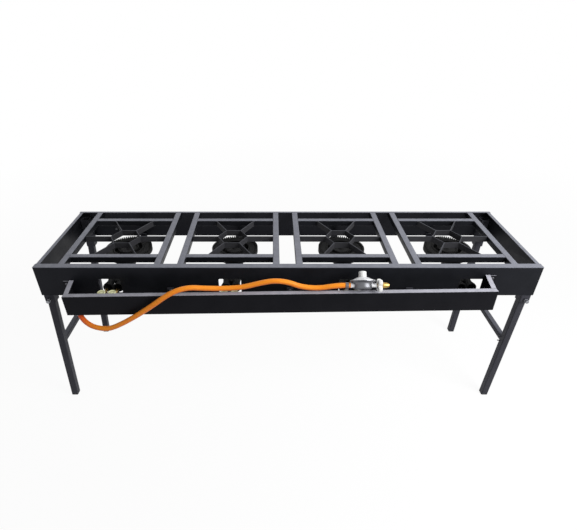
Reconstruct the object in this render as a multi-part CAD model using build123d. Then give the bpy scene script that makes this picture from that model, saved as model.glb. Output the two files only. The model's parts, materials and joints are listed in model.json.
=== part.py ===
from build123d import *
from math import asin, atan2, cos, degrees, pi, radians, sin, sqrt, tan
import os

os.makedirs("parts", exist_ok=True)

# Sizes are in millimetres. X runs along the table, the front faces -Y and Z is up.
# The table: four equal bays between two folded long panels and two end panels.
bay_count = 4
bay_pitch = 354.0
end_margin = 42.0
table_depth = 382.0
table_height = 555.0
sheet = 2.0
bend = 3.0
front_flange = 22.0
back_flange = 12.0

# Each bay has two long bars, two cross bars and a six-sided pot ring on six arms.
bar_size = 20.0
bar_wall = 1.5
bar_corner = 2.0
long_bar_spacing = 285.0
cross_bar_offset = 122.0
ring_radius = 48.0
ring_bar = 5.0
ring_height = 20.0
arm_angle = 60.0

# The gas line: the jets lie this far below the table top, and the rest follows them.
jet_height = 83.0
panel_below_jet = 17.0
pipe_below_jet = 27.0
tap_above_jet = 6.0

# Lighting windows in the front panel, one in front of each burner.
window_width = 67.0
window_top = 40.0
window_below_jet = 7.0
window_corner = 4.0

# One flat bearer between the panels carries each burner. The burners aren't quite centred in the bays.
burner_pitch = 360.0
burner_shift = 7.0
bearer_width = 25.0
bearer_thick = 4.0
bearer_turn_up = 10.0
bearer_hole_room = 0.3

# Burner: a cast twin-ring head with a toothed rim over two mixing tubes.
burner_back = 14.0
burner_top = 49.0
head_radius = 77.0
head_depth = 25.0
head_slope = 8.0
outer_ring_inner = 46.0
inner_head_radius = 34.0
cast_wall = 5.0
cast_floor = 4.0
cap_height = 8.0
cap_dish = 4.5
cap_rim = 7.0
tooth_count = 66
inner_tooth_count = 28
slot_width = 3.0
slot_depth = 5.0
slot_length = 9.0
tube_spacing = 31.0
tube_radius = 14.0
tube_bore = 10.5
throat_radius = 11.0
throat_bore = 8.0
mouth_radius = 15.0
mouth_bore = 13.0
mouth_length = 5.0
throat_start = 22.0
throat_length = 10.0
throat_flare = 28.0
mouth_behind_panel = 16.0
outer_tube_bite = 6.0
inner_tube_bite = 8.0
lug_radius = 9.0
lug_reach = 40.0
burner_bolt_radius = 3.0
burner_bolt_depth = 10.0
burner_bolt_flats = 10.0
burner_bolt_head = 4.0

# Gas pipe, taps, knobs and jets in front of the panel.
pipe_radius = 10.65
pipe_wall = 2.6
pipe_forward = 35.0
pipe_left_inset = 102.0
pipe_right_inset = 168.0
pipe_end_wall = 3.0
plug_flats = 22.0
plug_head = 7.0
plug_bite = 12.0
tap_shank_radius = 7.0
tap_shank_bite = 1.5
tap_collar_flats = 17.0
tap_collar_height = 6.0
tap_body_radius = 8.0
tap_port_radius = 6.0
tap_port_length = 6.0
gland_flats = 12.0
gland_height = 3.0
spindle_radius = 3.0
spindle_bite = 8.0
knob_lift = 1.0
knob_radius = 12.0
knob_height = 11.0
knob_edge = 1.2
knob_flutes = 12
knob_flute_radius = 1.5
jet_radius = 4.0
jet_hex_flats = 11.0
jet_hex = 7.0
jet_tip = 4.0
jet_tip_radius = 1.6
jet_gap = 6.0
run_gap = 0.05

# Pipe brackets between the burners, and the small round-headed screws.
bracket_width = 20.0
bracket_thick = 2.5
bracket_up = 28.0
bracket_screw_inset = 8.0
screw_radius = 2.5
screw_head_radius = 4.6
screw_head = 2.8
screw_length = 9.0
screw_room = 0.25
back_screw_inset = 118.0
back_screw_below = 71.0

# Guard in front of the taps: a folded rail with a top lip, and two end plates. Its left end hangs lower.
guard_left_inset = 98.0
guard_right_inset = 152.0
guard_reach = 66.0
guard_below = 48.0
guard_height = 67.0
guard_lip = 16.0
guard_sag = 20.0
guard_end_rise = 13.0
guard_end_lip = 14.0
guard_tab = 18.0
guard_tab_height = 40.0
guard_screw_inset = 9.0

# Legs, held in open-ended sockets by clamp bolts. They stand askew in the slack of the sockets.
leg_size = 22.0
leg_wall = 1.5
leg_slack = 2.5
leg_splay_left = 32.0
leg_splay_right = 8.0
socket_wall = 1.5
socket_below_bar = 2.0
socket_drop = 30.0
foot_height = 4.0
foot_edge = 1.0
foot_plug = 14.0
foot_plug_gap = 0.2
brace_size = 18.0
brace_height = 254.0
clamp_radius = 3.0
clamp_room = 0.2
clamp_flats = 10.0
clamp_head = 5.0
clamp_gap = 3.0
clamp_nut = 6.0

# Hose nipple. It points right, forward and down from the left end of the pipe.
nipple_inset = 10.0
nipple_way = (0.47, -0.44, -0.765)
nipple_face = 20.0
nipple_radius = 9.0
nipple_flats = 18.0
nipple_hex = 8.0
barb_length = 17.0
barb_ridges = 3
barb_ridge_step = 0.8
barb_gap = 0.05

# Hose and its clips.
hose_radius = 7.5
hose_bore = 4.0
clip_thick = 1.0
clip_width = 9.0
clip_inset = 5.0
clip_screw_box = 12.0
clip_screw_height = 5.0

# Regulator, leaned back on the lip of the guard.
reg_x = 211.0
reg_lean = 41.0
reg_flange_radius = 36.0
reg_flange_thick = 4.0
reg_dome_height = 8.0
reg_body_radius = 25.5
reg_body_edge = 4.0
reg_cap_radius = 11.3
reg_cap_height = 16.0
reg_cap_edge = 2.5
reg_cap_lift = 0.3
reg_thread_radius = 7.0
reg_thread_height = 10.0
reg_port_below = 14.5
reg_neck_radius = 6.0
reg_neck_length = 14.0
reg_tail_radius = 7.0
reg_tail_length = 10.0
nut_set_back = 8.8
nut_radius = 20.7
nut_core = 14.0
nut_lobes = 4
nut_length = 13.0
nut_play = 1.5
nut_lip_gap = 0.3
stem_radius = 5.0
nozzle_radius = 8.0
nozzle_straight = 10.5
nozzle_taper = 8.5
nozzle_tip_radius = 5.0

# Places that follow from the sizes above
table_length = bay_count * bay_pitch + 2 * end_margin
half = table_length / 2
top = table_height
panel_height = jet_height + panel_below_jet
clamp_stand = clamp_nut + clamp_gap + clamp_head
whole_depth = guard_reach + table_depth - sheet + clamp_stand
y_guard = -whole_depth / 2
y_front = y_guard + guard_reach
y_back = y_front + table_depth
y_mid = (y_front + y_back) / 2
inner_front = y_front + sheet
inner_back = y_back - sheet
y_tap = y_front - pipe_forward
y_burner = y_mid + burner_back
z_burner = top - burner_top
z_jet = top - jet_height
z_pipe = z_jet - pipe_below_jet
pipe_top = z_pipe + pipe_radius
z_panel_low = top - panel_height
bays = [(i - (bay_count - 1) / 2) * bay_pitch for i in range(bay_count)]
tube_half = tube_spacing / 2
burner_xs = [(i - (bay_count - 1) / 2) * burner_pitch + burner_shift for i in range(bay_count)]
tap_xs = [x + side * tube_half for x in burner_xs for side in (-1, 1)]
barb_radius = hose_bore - barb_gap
screw_hole = screw_radius + screw_room
end_x = half - sheet
socket_size = leg_size + 2 * leg_slack + 2 * socket_wall
socket_x = end_x - sheet - socket_size / 2
splay = {-1: leg_splay_left, 1: leg_splay_right}
foot_x = {sx: sx * socket_x - splay[sx] for sx in (-1, 1)}

# The middle of the whole box, with the left feet standing out, is put over the origin on saving.
box_left = min(-half, foot_x[-1] - leg_size / 2)
frame_x = -(box_left + half) / 2


def block(x0, x1, y0, y1, z0, z1):
    middle = Pos((x0 + x1) / 2, (y0 + y1) / 2, (z0 + z1) / 2)
    return middle * Box(abs(x1 - x0), abs(y1 - y0), abs(z1 - z0))


def rod(x, y, z0, z1, radius):
    return Pos(x, y, (z0 + z1) / 2) * Cylinder(radius, z1 - z0)


def rod_y(x, z, y0, y1, radius):
    return Pos(x, (y0 + y1) / 2, z) * Rot(90, 0, 0) * Cylinder(radius, abs(y1 - y0))


def rod_x(y, z, x0, x1, radius):
    return Pos((x0 + x1) / 2, y, z) * Rot(0, 90, 0) * Cylinder(radius, x1 - x0)


def hexagon(flats, height):
    return extrude(RegularPolygon(flats / 2, 6, major_radius=False), height)


def tube_bar(length, size, wall, corner):
    outer = RectangleRounded(size, size, corner)
    inner = Rectangle(size - 2 * wall, size - 2 * wall)
    return extrude(outer - inner, length)


def revolved(points):
    return revolve(Plane.XZ * make_face(Polyline(*points, close=True)), Axis.Z)


def barb_shape(face):
    tip = face + barb_length
    root = barb_radius - barb_ridge_step
    points = [(0, face - 1), (root, face - 1)]
    for i in range(barb_ridges):
        ridge = tip - (barb_ridges - i) * barb_length / (barb_ridges + 1)
        points += [(root, ridge), (barb_radius, ridge)]
    return revolved(points + [(root, tip), (0, tip)])


def side_plate(points, x0, x1):
    face = Plane.YZ * make_face(Polyline(*points, close=True))
    return Pos(min(x0, x1), 0, 0) * extrude(face, abs(x1 - x0), dir=(1, 0, 0))


def save(name, shape):
    export_step(Pos(frame_x, 0, 0) * shape, f"parts/{name}.step")


def save_group(name, solids):
    export_step(Compound(children=[Pos(frame_x, 0, 0) * s for s in solids]), f"parts/{name}.step")


# Folded long panels. The windows are cut here, the screw holes once the screws are known.
def long_panel(flange):
    outer = block(-half, half, 0, flange, -panel_height, 0)
    top_edge = outer.edges().filter_by(Axis.X).filter_by(lambda e: e.center().Z > -1 and e.center().Y < 1)
    corners = outer.edges().filter_by(Axis.Z).filter_by(lambda e: e.center().Y < 1)
    outer = fillet(top_edge + corners, bend)
    return outer - block(-half + sheet, half - sheet, sheet, flange + 1, -panel_height - 1, -sheet)


window_bottom = jet_height + window_below_jet
window = RectangleRounded(window_width, window_bottom - window_top, window_corner)
window = Rot(90, 0, 0) * extrude(window, 2 * front_flange, both=True)
front_panel = Pos(0, y_front, top) * long_panel(front_flange)
for x in burner_xs:
    front_panel -= Pos(x, y_front, top - (window_top + window_bottom) / 2) * window
back_panel = Pos(0, y_back, top) * Rot(0, 0, 180) * long_panel(back_flange)

# End panels between the long ones
for side, name in ((-1, "left_end_panel"), (1, "right_end_panel")):
    x_out, x_in, x_lip = side * end_x, side * (end_x - sheet), side * (end_x - back_flange)
    web = block(x_out, x_in, inner_front, inner_back, z_panel_low, top - sheet)
    lip = block(x_out, x_lip, y_front + front_flange, y_back - back_flange, top - sheet, top)
    edges = lip.edges().filter_by(Axis.Y).filter_by(lambda e: e.center().Z > top - 0.5)
    lip = fillet(edges.sort_by(Axis.X)[0 if side < 0 else -1], sheet * 0.75)
    save(name, web + lip)

# Leg sockets, legs, feet, braces and clamp bolts
leg_names = {
    (-1, -1): "leg_front_left", (1, -1): "leg_front_right",
    (-1, 1): "leg_back_left", (1, 1): "leg_back_right",
}
socket_top = bar_size + socket_below_bar
socket_length = panel_height + socket_drop - socket_top
socket_y = {-1: inner_front + socket_size / 2, 1: inner_back - socket_size / 2}
# Each clamp bolt pushes its leg against the far wall of the socket.
leg_y = {sy: socket_y[sy] - sy * leg_slack for sy in (-1, 1)}
lean = {sx: degrees(atan2(splay[sx], z_panel_low)) for sx in (-1, 1)}
z_clamp = z_panel_low - socket_drop / 2 - clamp_gap
plug_size = leg_size - 2 * leg_wall - 2 * foot_plug_gap
shank_length = socket_wall + 2 * leg_slack + clamp_nut + clamp_gap
shank = Pos(0, 0, clamp_nut + clamp_gap - shank_length / 2) * Cylinder(clamp_radius, shank_length)
clamp_bolt = shank + Pos(0, 0, clamp_nut + clamp_gap) * hexagon(clamp_flats, clamp_head)
nut_hole = Pos(0, 0, clamp_nut / 2) * Cylinder(clamp_radius + run_gap, 2 * clamp_nut)
nut = hexagon(clamp_flats, clamp_nut) - nut_hole
pad = extrude(RectangleRounded(leg_size, leg_size, 2 * leg_wall), foot_height)
pad = chamfer(pad.edges().group_by(Axis.Z)[0], foot_edge)
under_leg = block(-2 * half, 2 * half, -half, half, -half, foot_height)
plug_room = block(-2 * half, 2 * half, -half, half, foot_height / 2, foot_height + foot_plug)
sockets, bolts, nuts, feet = [], [], [], []
for (sx, sy), leg_name in leg_names.items():
    x, y = sx * socket_x, socket_y[sy]
    face = y + sy * socket_size / 2
    socket = tube_bar(socket_length, socket_size, socket_wall, 2 * socket_wall)
    socket = Pos(x, y, top - socket_top - socket_length) * socket
    sockets.append(socket - rod_y(x, z_clamp, y, face + sy, clamp_radius + clamp_room))
    # The leg leans about the lower edge of the panels, and its foot cap stays level.
    stand = Pos(x, leg_y[sy], z_panel_low) * Rot(0, lean[sx], 0) * Pos(0, 0, -1.1 * z_panel_low)
    leg = stand * tube_bar(1.1 * z_panel_low + socket_drop, leg_size, leg_wall, 2 * leg_wall)
    save(leg_name, leg - under_leg)
    plug = stand * extrude(Rectangle(plug_size, plug_size), z_panel_low) & plug_room
    feet.append(Pos(foot_x[sx], leg_y[sy], 0) * pad + plug)
    seat = Pos(x, face, z_clamp) * Rot(-90 * sy, 0, 0)
    nuts.append(seat * nut)
    bolts.append(seat * clamp_bolt)
save_group("leg_sockets", sockets)
save_group("leg_clamp_bolts", bolts)
save_group("leg_clamp_nuts", nuts)
save_group("foot_caps", feet)
for sx, name in ((-1, "leg_brace_left"), (1, "leg_brace_right")):
    y0, y1 = leg_y[-1] + leg_size / 2, leg_y[1] - leg_size / 2
    brace = Rot(0, lean[sx], 0) * Rot(90, 0, 0) * tube_bar(y1 - y0, brace_size, leg_wall, 2 * leg_wall)
    x = foot_x[sx] + splay[sx] * brace_height / z_panel_low
    save(name, Pos(x, y1, brace_height) * brace)

# Pot bars, notched under the flanges of the long panels, and pot rings
bar_z = top - bar_size / 2
ring_clear = cross_bar_offset - bar_size / 2
ring = RegularPolygon(ring_radius + ring_bar / 2, 6) - RegularPolygon(ring_radius - ring_bar / 2, 6)
arms = [
    Rot(0, 0, angle) * Pos(ring_radius + ring_clear, 0) * Rectangle(2 * ring_clear, ring_bar)
    for angle in (0, arm_angle, 180 - arm_angle, 180, -arm_angle, arm_angle - 180)
]
arms = (Sketch() + arms) - RegularPolygon(ring_radius, 6)
arms &= Rectangle(long_bar_spacing - bar_size, 2 * ring_clear)
pot_ring = extrude(ring + arms, ring_height)
for number, bay in enumerate(bays, 1):
    bars = []
    for side in (-1, 1):
        x = bay + side * long_bar_spacing / 2
        bar = tube_bar(inner_back - inner_front, bar_size, bar_wall, bar_corner)
        bar = Pos(x, inner_back, bar_z) * Rot(90, 0, 0) * bar
        x0, x1 = x - bar_size, x + bar_size
        bar -= block(x0, x1, inner_front - 1, y_front + front_flange, top - sheet, top + 1)
        bar -= block(x0, x1, y_back - back_flange, inner_back + 1, top - sheet, top + 1)
        bars.append(bar)
        span = long_bar_spacing - bar_size
        cross = Pos(bay - span / 2, y_mid + side * cross_bar_offset, bar_z) * Rot(0, 90, 0)
        bars.append(cross * tube_bar(span, bar_size, bar_wall, bar_corner))
    save_group(f"pot_bars_{number}", bars)
    save(f"pot_ring_{number}", Pos(bay, y_mid, top - ring_height) * pot_ring)

# Bearers under the burners, with their ends turned up and welded to the panels
bearers = []
z_bearer = z_panel_low - bearer_thick
z_turn_up = z_panel_low + bearer_turn_up
for x in burner_xs:
    x0, x1 = x - bearer_width / 2, x + bearer_width / 2
    bearer = block(x0, x1, inner_front, inner_back, z_bearer, z_panel_low)
    bearer += block(x0, x1, inner_front, inner_front + bearer_thick, z_bearer, z_turn_up)
    bearer += block(x0, x1, inner_back - bearer_thick, inner_back, z_bearer, z_turn_up)
    for y in (y_burner - lug_reach, y_burner + lug_reach):
        bearer -= rod(x, y, z_bearer - 1, z_panel_low + 1, burner_bolt_radius + bearer_hole_room)
    bearers.append(bearer)
save_group("burner_bearers", bearers)

# Burners: drawn once about their own axis with the rim at z = 0, then set into place.
tube_z = z_jet - z_burner
floor_z = -head_depth
deck_z = -cap_height
lug_base = z_panel_low - z_burner
tube_mouth = y_front + mouth_behind_panel - y_burner
ring_mid = (outer_ring_inner + head_radius) / 2


def mixing_tube(end):
    length = end - tube_mouth
    throat_end = throat_start + throat_length
    flare_end = throat_end + throat_flare
    outside = [(0, 0), (mouth_radius, 0), (mouth_radius, mouth_length), (throat_radius, throat_start)]
    outside += [(throat_radius, throat_end), (tube_radius, flare_end), (tube_radius, length), (0, length)]
    inside = [(0, -1), (mouth_bore, -1), (mouth_bore, 2), (throat_bore, throat_start)]
    inside += [(throat_bore, throat_end), (tube_bore, flare_end)]
    inside += [(tube_bore, length - cast_wall), (0, length - cast_wall)]
    turn = Pos(0, tube_mouth, tube_z) * Rot(-90, 0, 0)
    return turn * revolved(outside), turn * revolved(inside)


outer_head = revolved(
    [(outer_ring_inner, deck_z), (head_radius, deck_z), (head_radius, floor_z + head_slope),
     (head_radius - head_slope, floor_z), (outer_ring_inner + head_slope / 2, floor_z),
     (outer_ring_inner, floor_z + head_slope / 2)]
)
inner_slope = head_slope * 0.75
inner_head = revolved(
    [(0, deck_z), (inner_head_radius, deck_z), (inner_head_radius, floor_z + inner_slope),
     (inner_head_radius - inner_slope, floor_z), (0, floor_z)]
)
gas_in, gas_out = outer_ring_inner + cast_wall, head_radius - cast_wall
gas_floor = floor_z + cast_floor
floor = rod(0, 0, floor_z, gas_floor, ring_mid)
outer_gas = revolved(
    [(gas_in, deck_z + 1), (gas_out, deck_z + 1), (gas_out, gas_floor + cast_wall),
     (gas_out - cast_wall, gas_floor), (gas_in, gas_floor)]
)
inner_gas = rod(0, 0, gas_floor, deck_z + 1, inner_head_radius - cast_wall)
outer_tube, outer_bore = mixing_tube(outer_tube_bite - gas_in)
inner_tube, inner_bore = mixing_tube(inner_tube_bite)
left, right = Pos(-tube_half, 0, 0), Pos(tube_half, 0, 0)
tie_start = tube_mouth + throat_start + throat_length
tie = block(-tube_half, tube_half, tie_start, -inner_head_radius / 2, tube_z - 4, tube_z + 4)
lug_ys = (-lug_reach, lug_reach)
lugs = [rod(0, y, lug_base, floor_z + cast_floor - 1, lug_radius) for y in lug_ys]
burner = outer_head + inner_head + floor + left * outer_tube + right * inner_tube + tie + lugs
burner = burner - outer_gas - inner_gas - left * outer_bore - right * inner_bore
outer_port_y = -sqrt(ring_mid**2 - tube_half**2)
burner -= rod(-tube_half, outer_port_y, tube_z, gas_floor + 1, throat_bore)
burner -= rod(tube_half, -inner_head_radius / 4, tube_z, gas_floor + 1, throat_bore)
bolt_top = lug_base + burner_bolt_depth
burner -= [rod(0, y, lug_base - 1, bolt_top + 1, burner_bolt_radius + run_gap) for y in lug_ys]

# Burner caps: dished rings and centre caps with slots cut through their rims.
dish_z = -cap_dish
outer_cap = revolved(
    [(outer_ring_inner, deck_z), (head_radius, deck_z), (head_radius, 0), (head_radius - cap_rim, 0),
     (head_radius - cap_rim - 3, dish_z), (outer_ring_inner + 6, dish_z),
     (outer_ring_inner + 3, -1), (outer_ring_inner, -1)]
)
inner_rim = inner_head_radius - cap_rim
inner_cap = revolved(
    [(0, deck_z), (inner_head_radius, deck_z), (inner_head_radius, -1), (inner_rim + 1, -1),
     (inner_rim - 2, dish_z), (10, dish_z), (6, 0), (0, 0)]
)


def rim_slots(count, rim_radius):
    slot = Box(slot_length, slot_width, slot_depth, align=(Align.MAX, Align.CENTER, Align.MAX))
    return [Rot(0, 0, i * 360 / count) * Pos(rim_radius + 1, 0, 0.01) * slot for i in range(count)]


outer_cap -= rim_slots(tooth_count, head_radius)
inner_cap -= rim_slots(inner_tooth_count, inner_head_radius)
under = z_bearer - z_burner
burner_bolt = rod(0, 0, under, bolt_top, burner_bolt_radius)
burner_bolt += Pos(0, 0, under - burner_bolt_head) * hexagon(burner_bolt_flats, burner_bolt_head)
burner_bolts, inner_caps = [], []
for number, x in enumerate(burner_xs, 1):
    place = Pos(x, y_burner, z_burner)
    save(f"burner_body_{number}", place * burner)
    save(f"burner_cap_{number}", place * outer_cap)
    inner_caps.append(place * inner_cap)
    burner_bolts += [place * Pos(0, y, 0) * burner_bolt for y in lug_ys]
save_group("burner_inner_caps", inner_caps)
save_group("burner_bolts", burner_bolts)

# Gas pipe with its plug, and the brackets that carry it between the burners
pipe_left, pipe_right = -half + pipe_left_inset, half - pipe_right_inset
pipe_bore = pipe_radius - pipe_wall
pipe = rod_x(y_tap, z_pipe, pipe_left, pipe_right, pipe_radius)
pipe -= rod_x(y_tap, z_pipe, pipe_left + pipe_end_wall, pipe_right + 1, pipe_bore)
pipe -= [rod(x, y_tap, z_pipe, pipe_top + 1, tap_shank_radius + run_gap) for x in tap_xs]
save("gas_pipe", pipe)
plug = rod_x(y_tap, z_pipe, pipe_right - plug_bite, pipe_right, pipe_bore)
plug += Pos(pipe_right, y_tap, z_pipe) * Rot(0, 90, 0) * hexagon(plug_flats, plug_head)
save("pipe_plug", plug)


def panel_screw(x, y, z):
    shank = rod_y(x, z, y, y + screw_length, screw_radius)
    head = rod_y(x, z, y - screw_head, y, screw_head_radius)
    rim = head.edges().filter_by(GeomType.CIRCLE).sort_by(Axis.Y)[0]
    return shank + fillet(rim, screw_head * 0.6)


brackets, screws, panel_holes = [], [], []
for x_left, x_right in zip(burner_xs, burner_xs[1:]):
    x = (x_left + x_right) / 2
    x0, x1 = x - bracket_width / 2, x + bracket_width / 2
    strap = rod_x(y_tap, z_pipe, x0, x1, pipe_radius + bracket_thick)
    strap += block(x0, x1, y_tap, y_front, pipe_top, pipe_top + bracket_thick)
    strap += block(x0, x1, y_front - bracket_thick, y_front, pipe_top, pipe_top + bracket_up)
    strap -= rod_x(y_tap, z_pipe, x0 - 1, x1 + 1, pipe_radius)
    z = pipe_top + bracket_up - bracket_screw_inset
    brackets.append(strap - rod_y(x, z, y_front - 2 * bracket_thick, y_front + 1, screw_hole))
    screws.append(panel_screw(x, y_front - bracket_thick, z))
    panel_holes.append((x, z))
save_group("pipe_brackets", brackets)

# Taps, knobs and jets
z_body = z_jet + tap_above_jet
z_gland = z_body + gland_height
z_knob = z_gland + knob_lift
port_end = y_tap + tap_body_radius + tap_port_length
jet_end = y_front + mouth_behind_panel - jet_gap
knob = Pos(0, 0, knob_height / 2) * Cylinder(knob_radius, knob_height)
knob = chamfer(knob.edges().filter_by(GeomType.CIRCLE).sort_by(Axis.Z)[-1], knob_edge)
flute = Pos(knob_radius, 0, knob_height / 2) * Cylinder(knob_flute_radius, knob_height + 2)
knob -= [Rot(0, 0, i * 360 / knob_flutes) * flute for i in range(knob_flutes)]
knob += rod(0, 0, -knob_lift - spindle_bite, 1, spindle_radius)
tap_bodies, jets = [], []
for number, x in enumerate(tap_xs, 1):
    tap = rod(x, y_tap, pipe_top - pipe_wall - tap_shank_bite, z_body, tap_shank_radius)
    tap += Pos(x, y_tap, pipe_top + 0.5) * hexagon(tap_collar_flats, tap_collar_height)
    tap += rod(x, y_tap, pipe_top + tap_collar_height, z_body, tap_body_radius)
    tap += Pos(x, y_tap, z_body) * hexagon(gland_flats, gland_height)
    tap += rod_y(x, z_jet, y_tap, port_end, tap_port_radius)
    tap_bodies.append(tap - rod(x, y_tap, z_gland - spindle_bite - 1, z_gland + 1, spindle_radius + run_gap))
    save(f"tap_knob_{number}", Pos(x, y_tap, z_knob) * knob)
    jet = Pos(x, port_end + jet_hex, z_jet) * Rot(90, 0, 0) * hexagon(jet_hex_flats, jet_hex)
    jet += rod_y(x, z_jet, port_end + jet_hex, jet_end - jet_tip, jet_radius)
    jet += Pos(x, jet_end - jet_tip / 2, z_jet) * Rot(-90, 0, 0) * Cone(jet_radius, jet_tip_radius, jet_tip)
    jets.append(jet)
save_group("tap_bodies", tap_bodies)
save_group("gas_jets", jets)

# Guard: a folded rail and two end plates with tabs on the panel. All of it hangs askew about its middle.
guard_left, guard_right = -half + guard_left_inset, half - guard_right_inset
guard_mid = (guard_left + guard_right) / 2
z_guard = top - guard_below
z_guard_low = z_guard - guard_height
guard_tilt = asin(guard_sag / (guard_right - guard_left))
hang = Pos(guard_mid, 0, z_guard) * Rot(0, -degrees(guard_tilt), 0) * Pos(-guard_mid, 0, -z_guard)


def lip_height(x):
    return z_guard + (x - guard_mid) * tan(guard_tilt)


rail = block(guard_left, guard_right, y_guard, y_guard + guard_lip, z_guard_low, z_guard)
rail = fillet(rail.edges().filter_by(Axis.X).group_by(Axis.Z)[-1].sort_by(Axis.Y)[0], bend)
lip_back, under_lip = y_guard + guard_lip, z_guard - sheet
rail -= block(guard_left - 1, guard_right + 1, y_guard + sheet, lip_back + 1, z_guard_low - 1, under_lip)
save("guard_rail", hang * rail)
z_tab = under_lip + guard_end_rise
tab_low = z_guard - guard_tab_height
plate_side = [(y_guard + sheet, z_guard_low), (y_guard + sheet, under_lip), (lip_back, under_lip)]
plate_side += [(y_front, z_tab), (y_front, z_guard_low)]
lip_side = [(lip_back, under_lip), (lip_back, z_guard), (y_front, z_tab + sheet), (y_front, z_tab)]
for side, x_end, name in ((-1, guard_left, "guard_end_left"), (1, guard_right, "guard_end_right")):
    x_inner, x_lip, x_tab = x_end - side * sheet, x_end - side * guard_end_lip, x_end + side * guard_tab
    plate = side_plate(plate_side, x_end, x_inner) + side_plate(lip_side, x_end, x_lip)
    plate += block(x_inner, x_tab, y_front - sheet, y_front, tab_low, z_tab)
    x = (x_end + x_tab) / 2
    for z in (z_tab - guard_screw_inset, tab_low + guard_screw_inset):
        plate -= rod_y(x, z, y_front - 2 * sheet, y_front + 1, screw_hole)
        hole = (hang * Pos(x, y_front, z)).position
        screws.append(panel_screw(hole.X, y_front - sheet, hole.Z))
        panel_holes.append((hole.X, hole.Z))
    save(name, hang * plate)
x, z = -half + back_screw_inset, top - back_screw_below
screws.append(panel_screw(x, inner_back, z))
back_panel -= rod_y(x, z, inner_back - 1, y_back + 1, screw_hole)
front_panel -= [rod_y(x, z, y_front - 1, inner_front + 1, screw_hole) for x, z in panel_holes]
save_group("panel_screws", screws)
save("front_panel", front_panel)
save("back_panel", back_panel)

# Hose nipple, welded to the pipe near its left end
way = Vector(*nipple_way).normalized()
nipple_x = pipe_left + nipple_inset
hex_start = nipple_face - nipple_hex
nipple = rod(0, 0, 0, hex_start, nipple_radius)
nipple += Pos(0, 0, hex_start) * hexagon(nipple_flats, nipple_hex)
nipple += barb_shape(nipple_face)
nipple = Plane(origin=(nipple_x, y_tap, z_pipe), z_dir=way) * nipple
save("hose_nipple", nipple - rod_x(y_tap, z_pipe, pipe_left, pipe_left + 8 * nipple_inset, pipe_radius))

# Regulator: drawn upright about its own axis with the flange plane at z = 0, then leaned back.
# The hand nut just clears the lip, and the edge of the body's base rests on the lip's back edge.
up_y, up_z = sin(radians(reg_lean)), cos(radians(reg_lean))
neck_end = reg_body_radius + reg_neck_length
tail_end = reg_body_radius + reg_tail_length
nut_y = y_guard + nut_set_back
nut_z = lip_height(reg_x + neck_end + nut_play + nut_length) + nut_radius + nut_lip_gap
reg_y = nut_y + reg_port_below * up_y
reg_z = nut_z + reg_port_below * up_z
base_depth = (reg_y - lip_back) * up_y + (reg_z - lip_height(reg_x + reg_body_radius / 2)) * up_z
place = Pos(reg_x, reg_y, reg_z) * Rot(-reg_lean, 0, 0)
port = Pos(0, 0, -reg_port_below)
reg_body = revolved(
    [(0, -base_depth), (reg_body_radius - reg_body_edge, -base_depth),
     (reg_body_radius, reg_body_edge - base_depth), (reg_body_radius, -9),
     (reg_flange_radius - 6, -1 - reg_flange_thick), (reg_flange_radius, -reg_flange_thick),
     (reg_flange_radius, 0), (0, 0)]
)
reg_body += port * rod_x(0, 0, 0, neck_end, reg_neck_radius)
reg_body += port * rod_x(0, 0, -tail_end, 0, reg_tail_radius)
reg_body += port * Rot(0, -90, 0) * barb_shape(tail_end)
save("regulator_body", place * reg_body)
bonnet = revolved(
    [(0, 0), (reg_flange_radius, 0), (reg_flange_radius, 2.5), (reg_flange_radius - 4, reg_flange_thick),
     (reg_flange_radius - 14, reg_dome_height - 2), (reg_cap_radius + 2, reg_dome_height), (0, reg_dome_height)]
)
thread_top = reg_dome_height + reg_thread_height
bonnet += rod(0, 0, 0, thread_top, reg_thread_radius)
save("regulator_bonnet", place * bonnet)
cap_low, cap_top = reg_dome_height + reg_cap_lift, reg_dome_height + reg_cap_height
cap = rod(0, 0, cap_low, cap_top, reg_cap_radius)
cap = fillet(cap.edges().filter_by(GeomType.CIRCLE).sort_by(Axis.Z)[-1], reg_cap_edge)
cap -= rod(0, 0, cap_low - 1, thread_top + reg_cap_lift, reg_thread_radius + run_gap)
save("regulator_cap", place * cap)
nose_x = neck_end + nut_length + 2 * nut_play
nose_end = nozzle_straight + nozzle_taper
nose = [(0, 0), (nozzle_radius, 0), (nozzle_radius, nozzle_straight), (nozzle_tip_radius, nose_end), (0, nose_end)]
nozzle = rod_x(0, 0, neck_end, nose_x, stem_radius) + Pos(nose_x, 0, 0) * Rot(0, 90, 0) * revolved(nose)
save("regulator_nozzle", place * port * nozzle)
# The four-lobed hand nut turns on the stem of the nozzle.
lobe = Pos(nut_core, 0) * Circle(nut_radius - nut_core)
lobes = Circle(nut_core) + [Rot(0, 0, i * 360 / nut_lobes) * lobe for i in range(nut_lobes)]
hand_nut = extrude(lobes - Circle(stem_radius + run_gap), nut_length)
save("regulator_hand_nut", place * port * Pos(neck_end + nut_play, 0, 0) * Rot(0, 90, 0) * hand_nut)

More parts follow.
